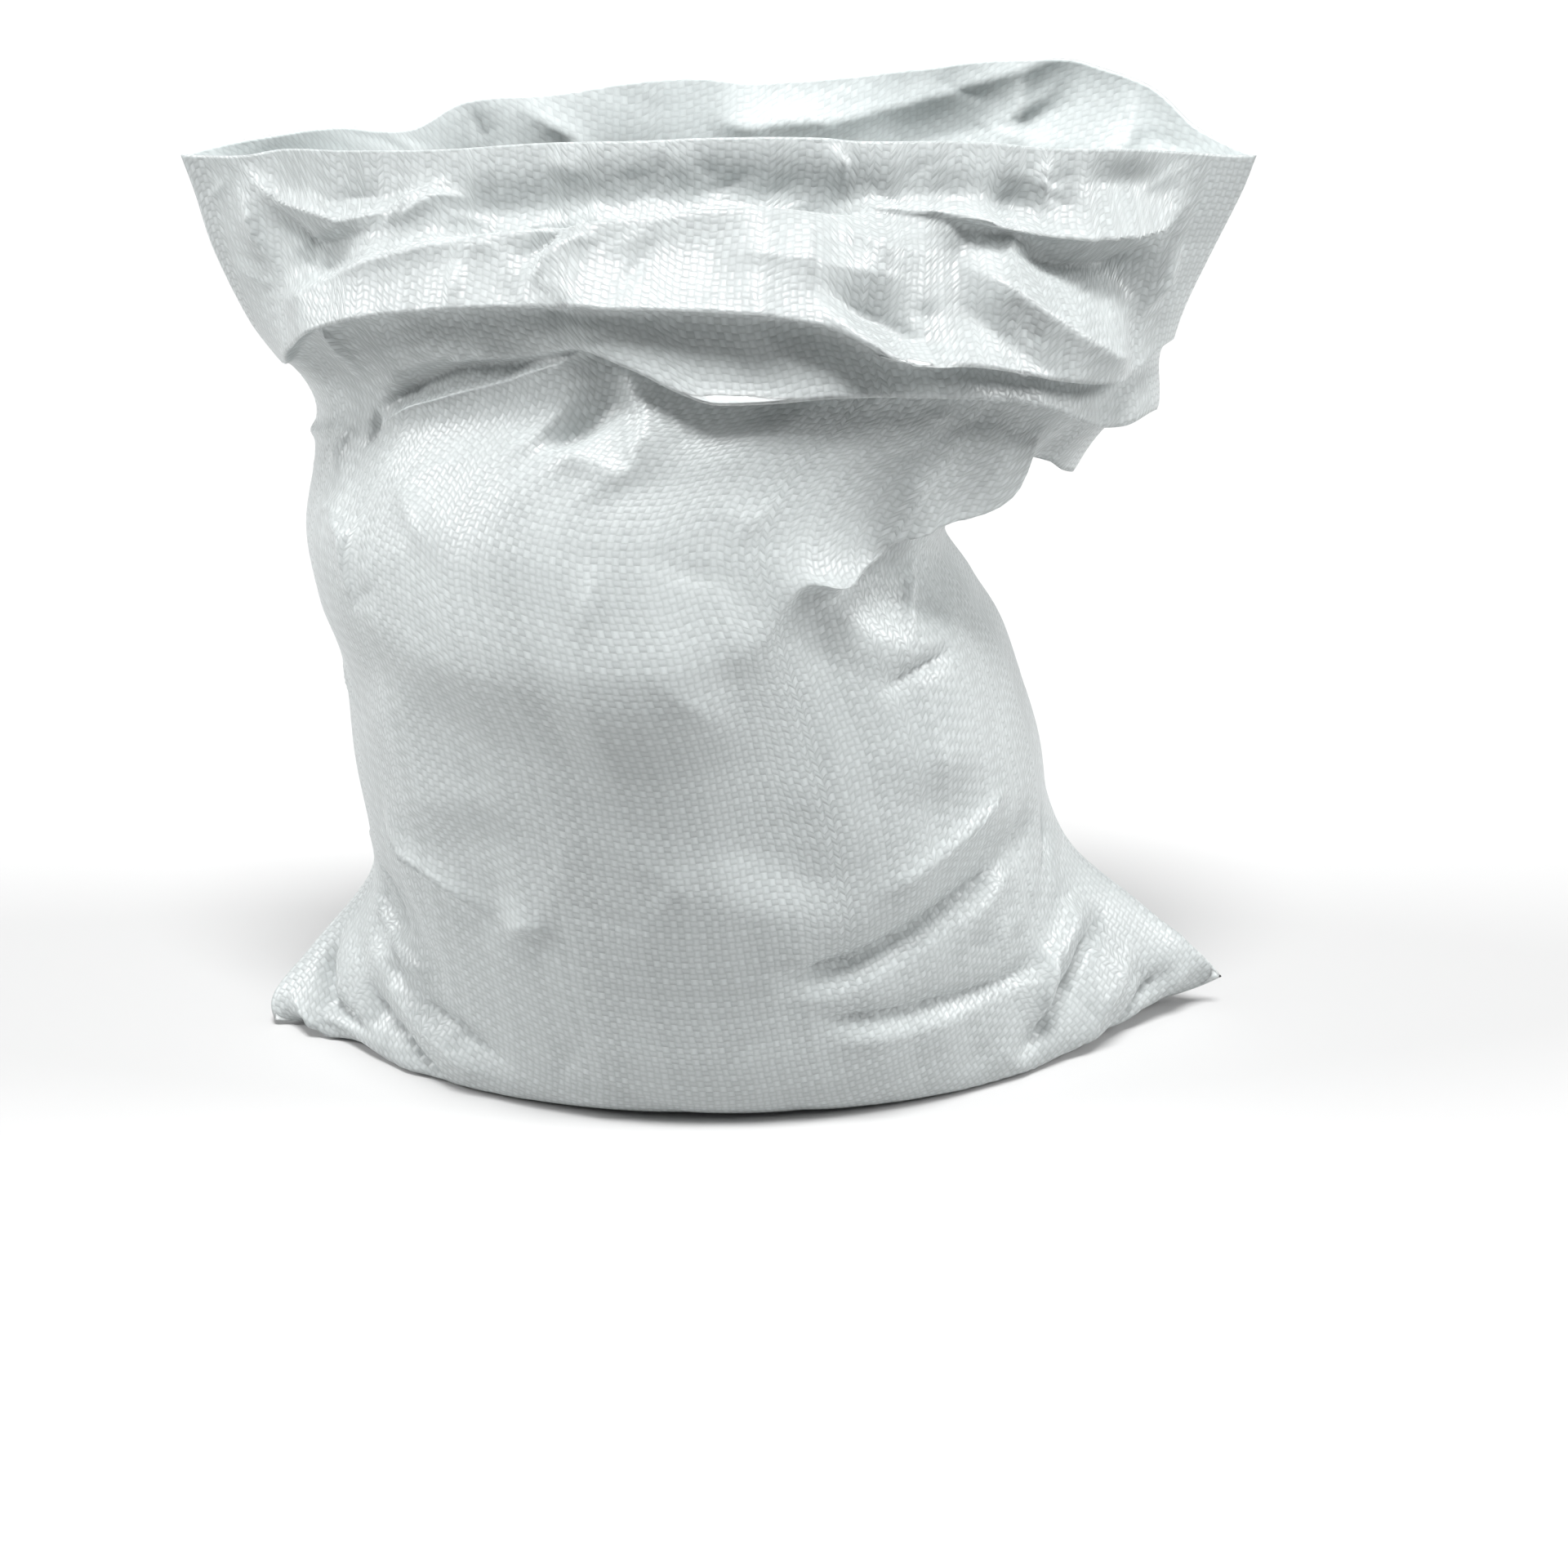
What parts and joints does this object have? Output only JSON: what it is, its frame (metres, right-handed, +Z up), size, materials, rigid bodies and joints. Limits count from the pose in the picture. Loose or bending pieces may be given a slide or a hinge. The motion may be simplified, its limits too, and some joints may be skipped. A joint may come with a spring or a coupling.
{
  "type": "sack of shelled peanuts",
  "caption": "Open white woven sack with a crumpled, folded collar, standing on its filled base, with shelled peanuts inside.",
  "frame": {"origin": "bottom centre of the bounding box, on the surface that the sack stands on", "axes": "+Z up, +X towards the right corner of the mouth seen from the front, -Y towards the front"},
  "size_m": [0.388, 0.2428, 0.3655],
  "materials": {
    "woven_cloth": "white woven tape cloth with a soft sheen",
    "peanut_skin": "dry papery brown skin"
  },
  "bodies": {
    "root": {"sack": "woven_cloth", "peanuts": "peanut_skin"}
  },
  "joints": []
}
